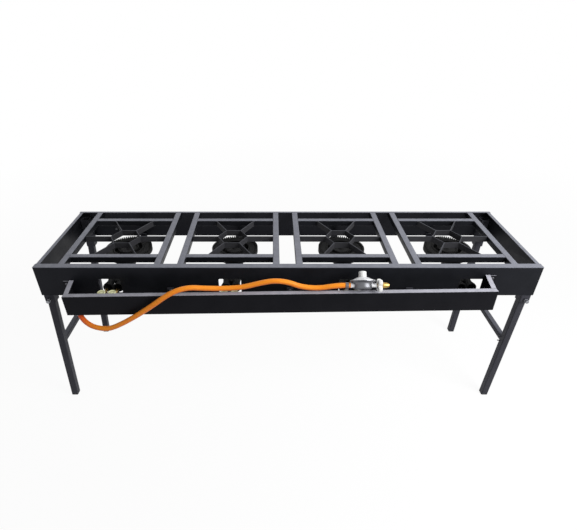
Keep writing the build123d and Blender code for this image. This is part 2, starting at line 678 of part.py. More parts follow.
# Hose: straight runs joined by tangent arcs. It drops from the nipple under the guard, comes up in
# front of it, lies along the lip with one hump and runs into the regulator.
start = Vector(nipple_x, y_tap, z_pipe) + way * nipple_face
first_end = start + way * 24
finish = (place * port * Pos(-tail_end, 0, 0)).position
route = [
    (start.X, start.Y, start.Z),
    (first_end.X, first_end.Y, first_end.Z),
    (start.X + 28.5, y_guard + 2, z_guard_low - 42),
    (start.X + 52, y_guard - 6.5, z_guard_low - 50),
    (start.X + 92, y_guard - 15, z_guard_low - 50),
    (start.X + 126, y_guard - 18, z_guard_low - 35),
    (start.X + 181, y_guard - 20, z_guard_low - 1),
    (start.X + 240, y_guard - 20, z_guard - 26),
    (start.X + 295, y_guard - 16, z_guard + 16),
    (start.X + 343, y_guard - 6, z_guard + 29),
    (start.X + 391, y_guard + 6, z_guard + 17),
    (start.X + 446, y_guard + 15, z_guard + 10),
    (start.X + 498, y_guard + 15, z_guard + 14),
    (start.X + 541, y_guard + 14, z_guard + 28),
    (start.X + 586, y_guard + 13, z_guard + 39),
    (start.X + 627, y_guard + 13, z_guard + 34),
    (start.X + 663, y_guard + 14, z_guard + 17),
    (start.X + 715, y_guard + 14, z_guard + 11),
    (finish.X - 36, finish.Y, finish.Z),
    (finish.X, finish.Y, finish.Z),
]
route = [Vector(*p) for p in route]
radii = []
for a, b, c in zip(route, route[1:], route[2:]):
    turn = (b - a).get_angle(c - b)
    shorter = min((b - a).length, (c - b).length)
    radii.append(0.45 * shorter / tan(radians(turn) / 2))
line = FilletPolyline(*route, radius=radii)
section = Plane(origin=route[0], z_dir=route[1] - route[0]) * (Circle(hose_radius) - Circle(hose_bore))
hose = sweep(section, path=line)
save("gas_hose", hose)
hose_area = pi * (hose_radius**2 - hose_bore**2)
print("hose radii in diameters", [round(r / hose_radius / 2, 1) for r in radii])
print("hose length", round(line.length), "volume ratio", round(hose.volume / hose_area / line.length, 4))
print("hose route", [[round(p.X + frame_x, 1), round(p.Y, 1), round(p.Z, 1)] for p in route])


def hose_clip(plane):
    band = extrude(Circle(hose_radius + clip_thick) - Circle(hose_radius), clip_width)
    box = Box(clip_screw_box, clip_screw_height, clip_width)
    box = Pos(0, hose_radius + clip_screw_height / 2, clip_width / 2) * box
    box -= rod(0, 0, -1, clip_width + 1, hose_radius + clip_thick / 2)
    return plane * Pos(0, 0, clip_inset) * (band + box)


first_clip = hose_clip(Plane(origin=route[0], z_dir=route[1] - route[0]))
last_clip = hose_clip(Plane(origin=route[-1], x_dir=(0, 1, 0), z_dir=route[-2] - route[-1]))
save_group("hose_clips", [first_clip, last_clip])
nut_axis = (place * port).position
cap_axis = (place * Pos(0, 0, reg_dome_height)).position
print("frame shift", frame_x, "knob axes x", tap_xs, "y", y_tap, "z", z_knob)
print("nut axis", nut_axis, "nozzle starts at x", reg_x + nose_x, "cap axis", cap_axis, "up", up_y, up_z)
print("base depth", base_depth, "leg y", leg_y, "foot x", foot_x, "lean", lean)
print("guard", y_guard, z_guard, "front", y_front, "back", y_back, "burner", y_burner, z_burner)
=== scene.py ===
import json
import math
import random

import bpy
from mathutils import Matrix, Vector

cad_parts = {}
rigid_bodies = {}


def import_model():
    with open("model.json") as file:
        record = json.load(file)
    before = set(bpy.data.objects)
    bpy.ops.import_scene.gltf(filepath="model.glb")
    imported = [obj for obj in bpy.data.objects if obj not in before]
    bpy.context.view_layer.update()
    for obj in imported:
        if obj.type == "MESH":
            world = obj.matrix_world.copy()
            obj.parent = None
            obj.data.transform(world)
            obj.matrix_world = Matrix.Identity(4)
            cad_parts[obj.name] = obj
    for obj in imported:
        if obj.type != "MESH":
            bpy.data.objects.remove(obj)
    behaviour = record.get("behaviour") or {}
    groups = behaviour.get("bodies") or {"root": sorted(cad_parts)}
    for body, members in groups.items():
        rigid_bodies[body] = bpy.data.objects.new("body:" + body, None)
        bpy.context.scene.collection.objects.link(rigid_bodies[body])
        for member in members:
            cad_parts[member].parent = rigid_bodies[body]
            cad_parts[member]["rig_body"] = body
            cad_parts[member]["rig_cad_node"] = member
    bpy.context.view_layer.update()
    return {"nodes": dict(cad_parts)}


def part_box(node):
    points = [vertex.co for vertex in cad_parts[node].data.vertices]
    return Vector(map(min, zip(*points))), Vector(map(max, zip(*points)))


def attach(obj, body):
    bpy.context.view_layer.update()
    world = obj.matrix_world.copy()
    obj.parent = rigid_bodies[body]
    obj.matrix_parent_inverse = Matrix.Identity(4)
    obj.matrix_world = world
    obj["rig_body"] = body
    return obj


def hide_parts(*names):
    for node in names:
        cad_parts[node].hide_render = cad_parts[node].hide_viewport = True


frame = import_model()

# lengths are in metres and angles in degrees where no note says otherwise
dice = random.Random(7)


# camera: where the photograph was taken from, worked out for a 577 x 530 picture
cameraSettings = {
    "place": (-0.0322, -1.2214, 1.2381),
    "tilt": 57.5,  # up from looking straight down
    "lens": 26.86,  # mm
    "sensor": 36,  # mm wide
    "shiftX": 0.0269,  # the picture is cropped off centre
}
bpy.ops.object.select_all(action="DESELECT")
bpy.ops.object.camera_add(
    location=cameraSettings["place"], rotation=(math.radians(cameraSettings["tilt"]), 0, 0))
camera = bpy.context.object
camera.data.sensor_fit = "HORIZONTAL"
camera.data.sensor_width = cameraSettings["sensor"]
camera.data.lens = cameraSettings["lens"]
camera.data.shift_x = cameraSettings["shiftX"]
bpy.context.scene.camera = camera
bpy.context.scene.view_settings.view_transform = "Standard"
print("camera placed")


# sRGB hex to linear
def hexColour(code):
    parts = [int(code[i:i + 2], 16) / 255 for i in (1, 3, 5)]
    return [p / 12.92 if p <= 0.04045 else ((p + 0.055) / 1.055) ** 2.4 for p in parts] + [1.0]


# adds one node, sets its sockets or its own settings, and links what feeds it; sockets that share a
# name go by number: a Mix has its share at 0 and its colours at 6 and 7, and a Map Range takes what
# lies between 1 and 2 to between 3 and 4
def addNode(tree, kind, settings=None, links=None):
    node = tree.nodes.new("ShaderNode" + kind)
    for key, value in (settings or {}).items():
        if isinstance(key, int) or key in node.inputs:
            node.inputs[key].default_value = value
        else:
            setattr(node, key, value)
    for key, source in (links or {}).items():
        tree.links.new(source, node.inputs[key])
    return node


def startMaterial(name, settings):
    material = bpy.data.materials.new(name)
    material.use_nodes = True
    tree = material.node_tree
    shader = tree.nodes["Principled BSDF"]
    for key, value in settings.items():
        shader.inputs[key].default_value = value
    coords = addNode(tree, "TexCoord").outputs["Object"]
    return material, tree, shader, coords


def grain(millimetres):
    return 1000 / millimetres  # texture scale for a pattern of that size


noiseSpan = (0.3, 0.7)  # most values of a noise texture lie in here


# drifts between two colours in soft clouds, and makes the polish uneven with them
def cloudTone(tree, shader, coords, look, detail, span=noiseSpan):
    cloud = addNode(tree, "TexNoise", {"Scale": grain(look["cloud"]), "Detail": detail}, {"Vector": coords})
    low, high = look["rough"]
    rough = addNode(tree, "MapRange", {1: span[0], 2: span[1], 3: low, 4: high}, {0: cloud.outputs["Fac"]})
    tree.links.new(rough.outputs[0], shader.inputs["Roughness"])
    tone = addNode(tree, "Mix", {"data_type": "RGBA", 6: hexColour(look["dark"]), 7: hexColour(look["pale"])},
                   {0: cloud.outputs["Fac"]})
    return tone.outputs[2]


# lays one colour over another by a share that changes from place to place
def overlay(tree, share, under, code):
    return addNode(tree, "Mix", {"data_type": "RGBA", 7: hexColour(code)}, {0: share, 6: under}).outputs[2]


# raises a fine uneven skin, its pattern size in mm
def addSkin(tree, shader, coords, size, detail, strength, depth):
    skin = addNode(tree, "TexNoise", {"Scale": grain(size), "Detail": detail}, {"Vector": coords})
    bump = addNode(tree, "Bump", {"Strength": strength, "Distance": depth}, {"Height": skin.outputs["Fac"]})
    tree.links.new(bump.outputs[0], shader.inputs["Normal"])


# how far a face looks up: 1 for level, 0 for upright, -1 for an underside
def upwardness(tree):
    normal = addNode(tree, "NewGeometry").outputs["Normal"]
    return addNode(tree, "SeparateXYZ", None, {0: normal}).outputs["Z"]


# black stove paint sprayed on mild steel: near black, a soft sheen with a cold tint, faint orange
# peel, and a pale bloom on faces that look up, partly dust and partly painted sheen; chips are worn folds where
# grey steel shows
paintSettings = {
    "sheen": "#e6e7ff",
    "dustAndSheenPatch": 18,  # mm
    "dustAndSheenThin": 0.75,  # share of the bloom in the barest patches
    "dustAndSheenSlope": (0.6, 0.95),  # how far up a face looks where the dust and painted sheen begin, and where all of it stays
    "chip": 9,  # mm
    "chipFrom": (0.5, 0.66),  # noise values where a chip begins, and where it is bare
    "chipShare": 0.4,
    "bareSteel": "#5e5e66",
    "peel": 4,  # mm: real orange peel is about 1.5 mm, drawn coarser so that it shows
}


def blackStovePaint(name, look, chips=False):
    material, tree, shader, coords = startMaterial(
        name, {"Specular IOR Level": look["shine"], "Specular Tint": hexColour(paintSettings["sheen"])})
    colour = cloudTone(tree, shader, coords, look, detail=4.0)
    dust = addNode(tree, "TexNoise", {
        "Scale": grain(paintSettings["dustAndSheenPatch"]), "Detail": 6.0, "Roughness": 0.7}, {"Vector": coords})
    patches = addNode(tree, "MapRange", {
        1: noiseSpan[0], 2: noiseSpan[1], 3: paintSettings["dustAndSheenThin"], 4: 1.0}, {0: dust.outputs["Fac"]})
    # dust and painted sheen: faces that look up are paled, partly for settled dust and partly standing in for
    # the bright reflection on top faces
    begins, stays = paintSettings["dustAndSheenSlope"]
    upwardBloom = addNode(tree, "MapRange", {1: begins, 2: stays, 3: 0.0, 4: look["bloom"]}, {0: upwardness(tree)})
    share = addNode(tree, "Math", {"operation": "MULTIPLY"}, {0: patches.outputs[0], 1: upwardBloom.outputs[0]})
    colour = overlay(tree, share.outputs[0], colour, look["dust"])
    if chips:
        chip = addNode(tree, "TexNoise", {
            "Scale": grain(paintSettings["chip"]), "Detail": 5.0}, {"Vector": coords})
        begins, bare = paintSettings["chipFrom"]
        edge = addNode(tree, "MapRange", {
            1: begins, 2: bare, 3: 0.0, 4: paintSettings["chipShare"]}, {0: chip.outputs["Fac"]})
        colour = overlay(tree, edge.outputs[0], colour, paintSettings["bareSteel"])
    tree.links.new(colour, shader.inputs["Base Color"])
    addSkin(tree, shader, coords, size=paintSettings["peel"], detail=2.0, strength=0.1, depth=0.0005)
    return material


# sand-cast grey iron with a dip of black: rough, pitted, hardly any shine
ironSettings = {
    "dark": "#09090a", "pale": "#151516", "cloud": 24,  # mm
    "rough": (0.55, 0.8), "shine": 0.22,
    "sand": 2.5,  # mm: moulding sand is finer than 1 mm, drawn coarser so that it shows
    "pit": 6,  # mm
    "pitShare": 0.5,
}


def blackCastIron(name, look):
    material, tree, shader, coords = startMaterial(name, {"Specular IOR Level": look["shine"]})
    tree.links.new(cloudTone(tree, shader, coords, look, detail=5.0, span=(0, 1)), shader.inputs["Base Color"])
    sand = addNode(tree, "TexNoise", {"Scale": grain(look["sand"]), "Detail": 4.0, "Roughness": 0.65},
                   {"Vector": coords})
    pits = addNode(tree, "TexVoronoi", {"Scale": grain(look["pit"])}, {"Vector": coords})
    rise = addNode(tree, "Math", {"operation": "MULTIPLY_ADD", 1: look["pitShare"]},
                   {0: pits.outputs["Distance"], 2: sand.outputs["Fac"]})
    bump = addNode(tree, "Bump", {"Strength": 0.45, "Distance": 0.0008}, {"Height": rise.outputs[0]})
    tree.links.new(bump.outputs[0], shader.inputs["Normal"])
    return material


# a bare or plated metal: its colour drifts a little and its polish is uneven, over a faint skin six
# times finer than the clouds
def plainMetal(name, look):
    material, tree, shader, coords = startMaterial(name, {"Metallic": look["metallic"]})
    tree.links.new(cloudTone(tree, shader, coords, look, detail=5.0), shader.inputs["Base Color"])
    addSkin(tree, shader, coords, size=look["cloud"] / 6, detail=3.0, strength=0.08, depth=0.0003)
    return material


# a rubber or plastic: no metal, a soft even colour with small smudges; where a look asks for them, painted
# shade on faces that look down and a tint towards one end
def plainPolymer(name, look):
    material, tree, shader, coords = startMaterial(name, {"IOR": look["ior"]})
    colour = cloudTone(tree, shader, coords, look, detail=4.0)
    # painted shade: darker on faces that look down
    if "grime" in look:
        low, high = look["grimeSlope"]
        under = addNode(tree, "MapRange", {
            1: low, 2: high, 3: look["grimeShare"], 4: 0.0}, {0: upwardness(tree)})
        colour = overlay(tree, under.outputs[0], colour, look["grime"])
    # redder towards one end along X
    if "heat" in look:
        along = addNode(tree, "SeparateXYZ", None, {0: coords}).outputs["X"]
        start, end = look["heatReach"]
        reddened = addNode(tree, "MapRange", {
            1: start, 2: end, 3: look["heatShare"], 4: 0.0}, {0: along})
        colour = overlay(tree, reddened.outputs[0], colour, look["heat"])
    tree.links.new(colour, shader.inputs["Base Color"])
    # a moulded or drawn skin is finer than 0.5 mm, drawn at 2 mm so that it shows
    addSkin(tree, shader, coords, size=2, detail=2.0, strength=0.05, depth=0.0002)
    return material


# the finishes, with clouds in mm and the lowest and highest roughness

# panels and bars: near black, with a bluish haze on what faces up, partly dust and partly painted sheen
panelLook = {"dark": "#0f1012", "pale": "#1a1b1f", "cloud": 55, "rough": (0.34, 0.48), "shine": 0.1,
             "dust": "#83858f", "bloom": 0.9}
paint = blackStovePaint("blackStovePaint", panelLook)
# the same on their broken edges, chipped
wornPaint = blackStovePaint("wornStovePaint", panelLook, chips=True)
# guard: black, with a paler bloom of dust and painted sheen on what faces up, the lip most of all
guardSheenPaint = blackStovePaint("guardSheenStovePaint", {
    "dark": "#0e0e10", "pale": "#18181b", "cloud": 55, "rough": (0.34, 0.48), "shine": 0.06,
    "dust": "#b0b0ba", "bloom": 1.0})
# legs and pipework: a thin coat that reads dark grey, with little dust and painted sheen on what faces up
legPaint = blackStovePaint("legStovePaint", {
    "dark": "#27272b", "pale": "#3a3a40", "cloud": 55, "rough": (0.38, 0.52), "shine": 0.1,
    "dust": "#83858f", "bloom": 0.3})
# pot rings: dulled to a matt grey by the flames
burntPaint = blackStovePaint("burntStovePaint", {
    "dark": "#242426", "pale": "#3b3b3e", "cloud": 55, "rough": (0.55, 0.7), "shine": 0.08,
    "dust": "#83858f", "bloom": 0.25})
castIron = blackCastIron("sandCastIron", ironSettings)
# zinc-plated bolts: light grey with a soft cloudy shine
zincSteel = plainMetal("zincPlatedSteel", {
    "dark": "#7c7e83", "pale": "#a0a2a7", "cloud": 12, "rough": (0.36, 0.55), "metallic": 1.0})
# hose clips: old zinc, gone grey and dull
greyZinc = plainMetal("greyZincSteel", {
    "dark": "#57555a", "pale": "#77757a", "cloud": 6, "rough": (0.42, 0.6), "metallic": 1.0})
# black zinc on the screws: dark, with a steely shine on the heads
blackZinc = plainMetal("blackZincSteel", {
    "dark": "#3a3a3e", "pale": "#6b6b70", "cloud": 8, "rough": (0.32, 0.5), "metallic": 1.0})
# turned brass fittings: warm yellow with a clear shine
brass = plainMetal("turnedBrass", {
    "dark": "#9a7d3a", "pale": "#c9a96a", "cloud": 10, "rough": (0.24, 0.42), "metallic": 1.0})
# tap knobs: brass under a pale dull film, so that little metal shows
knobBrass = plainMetal("dullKnobBrass", {
    "dark": "#d0d09c", "pale": "#eeedc6", "cloud": 7, "rough": (0.45, 0.6), "metallic": 0.3})
# the regulator's drum as cast: mid grey and satin
dieCast = plainMetal("dieCastZinc", {
    "dark": "#55565a", "pale": "#808186", "cloud": 16, "rough": (0.34, 0.5), "metallic": 0.9})
# bright zinc on its bonnet and stubs: a pale coat, smooth, that hides most of the metal
brightZinc = plainMetal("brightZincSteel", {
    "dark": "#d0d1d4", "pale": "#e4e4e6", "cloud": 14, "rough": (0.28, 0.42), "metallic": 0.35})
# extruded gas hose: bright orange and satin on top, with painted shade on its underside, and
# redder towards the end at the nipple
hoseRubber = plainPolymer("orangeHoseRubber", {
    "dark": "#f28410", "pale": "#fb9d26", "cloud": 40, "rough": (0.36, 0.5), "ior": 1.36,
    "grime": "#b4500c", "grimeSlope": (-0.75, 0.6), "grimeShare": 0.9,
    "heat": "#cf3f1c", "heatReach": (-0.605, -0.55), "heatShare": 0.85})  # reach along the table
# moulded rubber feet: black and matt
footRubber = plainPolymer("blackFootRubber", {
    "dark": "#101011", "pale": "#1b1b1c", "cloud": 15, "rough": (0.6, 0.75), "ior": 1.5})
# moulded nylon cap and hand nut: white with a soft gloss
whiteNylon = plainPolymer("whiteNylon", {
    "dark": "#d2d2d1", "pale": "#e2e2e1", "cloud": 20, "rough": (0.3, 0.42), "ior": 1.53})
print("finishes mixed")


# stage: a pale floor that reads white, and soft studio light
stageSettings = {
    "floorSize": 400.0,
    "floorColour": "#f4f4f4",
    "glow": 0.93,  # share of the floor's whiteness that shadow can't dim
    "shadowReach": (1.3, 3.2),  # from the middle: the floor turns plain white in between
    "fill": 0.38,  # world strength for diffuse light
    "key": {"place": (1.3, -0.9, 1.35), "target": (0, 0, 0.4), "size": (0.9, 0.9), "power": 31},
    "back": {"place": (0.0, 2.7, 2.3), "target": (0, 0, 0.5), "size": (5.0, 1.6), "power": 32},
}


# 1 where the camera, a mirror or glass looks at it, 0 for all other light
def seenDirectly(tree):
    path = addNode(tree, "LightPath")
    seen = path.outputs["Is Camera Ray"]
    for other in ("Is Glossy Ray", "Is Transmission Ray"):
        seen = addNode(tree, "Math", {"operation": "MAXIMUM"}, {0: seen, 1: path.outputs[other]}).outputs[0]
    return seen


def lightSoftbox(name, settings):
    bpy.ops.object.light_add(type="AREA", location=settings["place"])
    lamp = bpy.context.object
    lamp.name = name
    lamp.data.shape = "RECTANGLE"
    lamp.data.size, lamp.data.size_y = settings["size"]
    lamp.data.energy = settings["power"]
    lamp.rotation_euler = (Vector(settings["target"]) - lamp.location).to_track_quat("-Z", "Y").to_euler()


bpy.ops.object.select_all(action="DESELECT")
bpy.ops.mesh.primitive_plane_add(size=stageSettings["floorSize"])
floor = bpy.context.object
floor.name = "studioFloor"
floorPaint = bpy.data.materials.new("paleStudioFloor")
floorPaint.use_nodes = True
floorTree = floorPaint.node_tree
floorTree.nodes.remove(floorTree.nodes["Principled BSDF"])
chalk = addNode(floorTree, "BsdfDiffuse", {"Color": hexColour(stageSettings["floorColour"])})
glow = addNode(floorTree, "Emission", {"Color": hexColour("#ffffff"), "Strength": 1.0})
fromMiddle = addNode(floorTree, "VectorMath", {"operation": "LENGTH"},
                     {0: addNode(floorTree, "TexCoord").outputs["Object"]})
nearEdge, farEdge = stageSettings["shadowReach"]
plain = addNode(floorTree, "MapRange", {1: nearEdge, 2: farEdge, 3: stageSettings["glow"], 4: 1.0},
                {0: fromMiddle.outputs["Value"]})
amount = addNode(floorTree, "Math", {"operation": "MULTIPLY"},
                 {0: seenDirectly(floorTree), 1: plain.outputs[0]})
floorMix = addNode(floorTree, "MixShader", None,
                   {0: amount.outputs[0], 1: chalk.outputs[0], 2: glow.outputs[0]})
floorTree.links.new(floorMix.outputs[0], floorTree.nodes["Material Output"].inputs["Surface"])
floor.data.materials.append(floorPaint)
world = bpy.data.worlds.new("whiteStudio")
world.use_nodes = True
bpy.context.scene.world = world
worldTree = world.node_tree
strength = addNode(worldTree, "MapRange", {3: stageSettings["fill"], 4: 1.0}, {0: seenDirectly(worldTree)})
sky = worldTree.nodes["Background"]
sky.inputs["Color"].default_value = hexColour("#ffffff")
worldTree.links.new(strength.outputs[0], sky.inputs["Strength"])
lightSoftbox("keySoftbox", stageSettings["key"])
lightSoftbox("backSoftbox", stageSettings["back"])
print("stage lit")


meshSettings = {
    "merge": 0.00001,  # points nearer than this are one
    "flat": 1,  # faces that bend less are one face
    "smooth": 32,  # faces that bend less are shaded as one
    "sharp": 40,  # edges that bend more are broken
    "edgeSteps": 2,
}


# makes obj the only selected and active object
def takeUp(obj):
    bpy.ops.object.select_all(action="DESELECT")
    obj.select_set(True)
    bpy.context.view_layer.objects.active = obj


# puts an object's place, turn and size into its mesh
def applyPlace(obj):
    takeUp(obj)
    bpy.ops.object.transform_apply(location=True, rotation=True, scale=True)


def smoothFaces(obj):
    takeUp(obj)
    bpy.ops.object.shade_smooth_by_angle(angle=math.radians(meshSettings["smooth"]))


def applyModifier(obj, kind, settings):
    takeUp(obj)
    modifier = obj.modifiers.new(kind.lower(), kind)
    for key, value in settings.items():
        setattr(modifier, key, value)
    bpy.ops.object.modifier_apply(modifier=modifier.name)


# gives a finished piece its finishes, its body and the solids that it stands for
def handOver(obj, finishes, slotName, body="table", stands=()):
    obj.data.materials.clear()
    for finish in finishes:
        obj.data.materials.append(finish)
    applyPlace(obj)
    smoothFaces(obj)
    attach(obj, body)
    if stands:
        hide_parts(*stands)


def middleOf(low, high):
    return [(a + b) / 2 for a, b in zip(low, high)]


# a turned shape: a disc drawn out ring by ring, each ring a radius and a height
def turnedShape(name, rings, sides):
    bpy.ops.object.select_all(action="DESELECT")
    radius, height = rings[0]
    bpy.ops.mesh.primitive_circle_add(vertices=sides, radius=radius, fill_type="NGON", location=(0, 0, height))
    piece = bpy.context.object
    piece.name = name
    bpy.ops.object.transform_apply(location=True)
    bpy.ops.object.mode_set(mode="EDIT")
    bpy.ops.mesh.select_all(action="SELECT")
    for newRadius, newHeight in rings[1:]:
        bpy.ops.mesh.extrude_region_move(TRANSFORM_OT_translate={"value": (0, 0, newHeight - height)})
        bpy.ops.transform.resize(value=(newRadius / radius, newRadius / radius, 1))
        radius, height = newRadius, newHeight
    bpy.ops.mesh.select_all(action="SELECT")
    bpy.ops.mesh.normals_make_consistent(inside=False)
    bpy.ops.object.mode_set(mode="OBJECT")
    return piece


# goes into edit mode with only the points that pass the test selected
def pickPoints(obj, test):
    takeUp(obj)
    bpy.ops.object.mode_set(mode="EDIT")
    bpy.ops.mesh.select_mode(type="VERT")
    bpy.ops.mesh.select_all(action="DESELECT")
    bpy.ops.object.mode_set(mode="OBJECT")
    for point in obj.data.vertices:
        point.select = test(point.co)
    bpy.ops.object.mode_set(mode="EDIT")


# draws the points of a turned shape that pass the test in towards its axis
def drawIn(obj, test, scale):
    pickPoints(obj, test)
    bpy.ops.transform.resize(value=(scale, scale, 1), center_override=(0, 0, 0))
    bpy.ops.object.mode_set(mode="OBJECT")


# number of the column that a point of a turned shape stands in, counted round from +X
def columnOf(co, sides):
    return round(math.atan2(co.y, co.x) / (2 * math.pi / sides))


# true on every nth column of a turned shape's points, outside a radius
def columnTest(sides, nth, radius):
    return lambda co: columnOf(co, sides) % nth == 0 and math.hypot(co.x, co.y) > radius


# a copy with its own mesh, turned and set in place
def setCopy(obj, name, place, turn=(0, 0, 0)):
    takeUp(obj)
    bpy.ops.object.duplicate()
    copy = bpy.context.object
    copy.name = name
    copy.rotation_euler = turn
    copy.location = place
    applyPlace(copy)
    return copy


def joinAll(pieces, name):
    bpy.ops.object.select_all(action="DESELECT")
    for piece in pieces:
        piece.select_set(True)
    bpy.context.view_layer.objects.active = pieces[0]
    bpy.ops.object.join()
    pieces[0].name = name
    return pieces[0]


# cuts the tool out of a piece or makes it part of the piece
def combine(obj, tool, operation):
    applyModifier(obj, "BOOLEAN", {"object": tool, "operation": operation, "solver": "EXACT"})
    bpy.data.objects.remove(tool)


# the boxes of the separate solids in one node
def solidBoxes(nodeName):
    takeUp(frame["nodes"][nodeName])
    bpy.ops.object.duplicate()
    bpy.ops.object.mode_set(mode="EDIT")
    bpy.ops.mesh.select_all(action="SELECT")
    bpy.ops.mesh.remove_doubles(threshold=meshSettings["merge"])
    bpy.ops.mesh.separate(type="LOOSE")
    bpy.ops.object.mode_set(mode="OBJECT")
    boxes = []
    for part in list(bpy.context.selected_objects):
        points = [part.matrix_world @ v.co for v in part.data.vertices]
        boxes.append((Vector([min(p[i] for p in points) for i in range(3)]),
                      Vector([max(p[i] for p in points) for i in range(3)])))
        bpy.data.objects.remove(part)
    return sorted(boxes, key=lambda box: tuple(round(v, 4) for v in box[0]))


# hose: hangs from the nipple under the guard, rises in front of it, lies along the lip with one hump
hoseSettings = {
    "diameter": 0.015,
    "length": 0.880,
    "route": [
        (-0.6166, -0.2078, 0.4297), (-0.6053, -0.2184, 0.4113), (-0.5881, -0.2280, 0.3980),
        (-0.5646, -0.2365, 0.3900), (-0.5246, -0.2450, 0.3900), (-0.4906, -0.2480, 0.4050),
        (-0.4356, -0.2500, 0.4390), (-0.3766, -0.2500, 0.4810), (-0.3216, -0.2460, 0.5230),
        (-0.2736, -0.2360, 0.5360), (-0.2256, -0.2240, 0.5240), (-0.1706, -0.2150, 0.5170),
        (-0.1186, -0.2150, 0.5210), (-0.0756, -0.2160, 0.5350), (-0.0306, -0.2170, 0.5460),
        (0.0104, -0.2170, 0.5410), (0.0464, -0.2160, 0.5240), (0.0984, -0.2160, 0.5180),
        (0.1515, -0.2212, 0.5327), (0.1875, -0.2212, 0.5327)],
    "stepsAlong": 12,  # from one route point to the next
    "roundness": 8,  # as bevel resolution, which gives 20 points round the hose
}
hoseCurve = bpy.data.curves.new("gasHose", "CURVE")
hoseCurve.dimensions = "3D"
line = hoseCurve.splines.new("NURBS")
line.points.add(len(hoseSettings["route"]) - 1)
for point, place in zip(line.points, hoseSettings["route"]):
    point.co = (*place, 1)
line.order_u = 3
line.use_endpoint_u = True
line.resolution_u = hoseSettings["stepsAlong"]
hoseCurve.bevel_depth = hoseSettings["diameter"] / 2
hoseCurve.bevel_resolution = hoseSettings["roundness"]
hoseCurve.use_fill_caps = True
hoseCurve.materials.append(hoseRubber)
hose = bpy.data.objects.new("gasHose", hoseCurve)
bpy.context.scene.collection.objects.link(hose)
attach(hose, "table")
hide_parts("gas_hose")
print("hose laid")


# steel, iron, brass and rubber pieces that keep the solid's own form, with its edges broken
bayNumbers = range(1, 5)
keptSettings = [
    {"edge": 0.0008, "finish": paint, "slot": "black_paint",
     "nodes": ["front_panel", "back_panel", "left_end_panel", "right_end_panel"]},
    {"edge": 0.0012, "finish": legPaint, "slot": "black_paint",
     "nodes": ["leg_sockets", "leg_front_left", "leg_front_right", "leg_back_left", "leg_back_right",
               "leg_brace_left", "leg_brace_right"]},
    {"edge": 0.0008, "finish": legPaint, "slot": "black_paint", "nodes": ["burner_bearers"]},
    {"edge": 0.0006, "finish": legPaint, "slot": "black_paint", "nodes": ["gas_pipe", "pipe_brackets"]},
    {"edge": 0.0006, "finish": guardSheenPaint, "slot": "black_paint",
     "nodes": ["guard_rail", "guard_end_left", "guard_end_right"]},
    {"edge": 0.0012, "finish": paint, "slot": "black_paint",
     "nodes": [f"pot_bars_{number}" for number in bayNumbers]},
    {"edge": 0.0006, "finish": burntPaint, "slot": "black_paint", "thin": 0.001,  # off each side: 3 mm strip
     "nodes": [f"pot_ring_{number}" for number in bayNumbers]},
    {"edge": 0.0012, "finish": castIron, "slot": "cast_iron",
     "nodes": [f"burner_body_{number}" for number in bayNumbers]},
    {"edge": 0.0008, "finish": castIron, "slot": "cast_iron",
     "nodes": [f"burner_cap_{number}" for number in bayNumbers] + ["burner_inner_caps"]},
    {"edge": 0.0005, "finish": zincSteel, "slot": "zinc_steel",
     "nodes": ["leg_clamp_bolts", "leg_clamp_nuts", "burner_bolts", "pipe_plug"]},
    {"edge": 0.0005, "finish": greyZinc, "slot": "zinc_steel", "nodes": ["hose_clips"]},
    {"edge": 0.0004, "finish": brass, "slot": "brass",
     "nodes": ["tap_bodies", "gas_jets", "hose_nipple", "regulator_nozzle"]},
    {"edge": 0.0008, "finish": footRubber, "slot": "black_rubber", "nodes": ["foot_caps"]},
]


# front_panel becomes frontPanel
def pieceName(nodeName):
    first, *rest = nodeName.split("_")
    return first + "".join(word.capitalize() for word in rest)


# the broken edges get the last of the finishes
def breakEdges(nodeName, radius, finishes, slotName, thin):
    takeUp(frame["nodes"][nodeName])
    bpy.ops.object.duplicate()
    piece = bpy.context.object
    piece.name = pieceName(nodeName)
    for key in ("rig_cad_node", "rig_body"):  # the copy is no CAD node
        del piece[key]
    piece.parent = None
    bpy.ops.object.mode_set(mode="EDIT")
    bpy.ops.mesh.select_all(action="SELECT")
    bpy.ops.mesh.remove_doubles(threshold=meshSettings["merge"])
    bpy.ops.mesh.dissolve_limited(angle_limit=math.radians(meshSettings["flat"]))
    if thin:  # planed down all round, then drawn out again to its old reach
        low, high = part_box(nodeName)
        bpy.ops.transform.shrink_fatten(value=-thin, use_even_offset=True)
        bpy.ops.transform.resize(value=[(b - a) / (b - a - 2 * thin) for a, b in zip(low, high)],
                                 center_override=middleOf(low, high))
    bpy.ops.object.mode_set(mode="OBJECT")
    handOver(piece, finishes, slotName, "table", [nodeName])
    applyModifier(piece, "BEVEL", {
        "width": radius, "segments": meshSettings["edgeSteps"], "limit_method": "ANGLE",
        "angle_limit": math.radians(meshSettings["sharp"]), "use_clamp_overlap": True,
        "material": len(finishes) - 1})
    smoothFaces(piece)


for group in keptSettings:
    finishes = [paint, wornPaint] if group["finish"] == paint else [group["finish"]]
    for nodeName in group["nodes"]:
        breakEdges(nodeName, group["edge"], finishes, group["slot"], group.get("thin", 0))
print("painted steel, castings and fittings made")


# tap knobs: turned brass with a gripped rim, a dished top and the end of the spindle in its middle
knobSettings = {
    "sides": 72,
    "rings": [(0.003, -0.009), (0.003, 0.0), (0.0104, 0.0), (0.0117, 0.0010), (0.0117, 0.0098), (0.0109, 0.011),
              (0.0088, 0.011), (0.0078, 0.0098), (0.0036, 0.0098), (0.0030, 0.0106), (0.0014, 0.0109)],
    "spindle": 0.009,  # reach below the knob
    "notch": 0.0012,  # half the width, and the depth, of the index notch in the rim
    "notchFrom": (0.0085, 0.0105),  # radius and height past which it is cut
    "gripEvery": 3,  # columns of points from one grip to the next
    "gripFrom": 0.0103,  # radius past which the grips are cut
    "gripScale": 0.955,
    "edge": {"width": 0.0003, "segments": 2, "limit_method": "ANGLE", "angle_limit": math.radians(35)},
}


def inNotch(co):
    radius, height = knobSettings["notchFrom"]
    return co.x > radius and co.z > height and abs(co.y) < knobSettings["notch"]


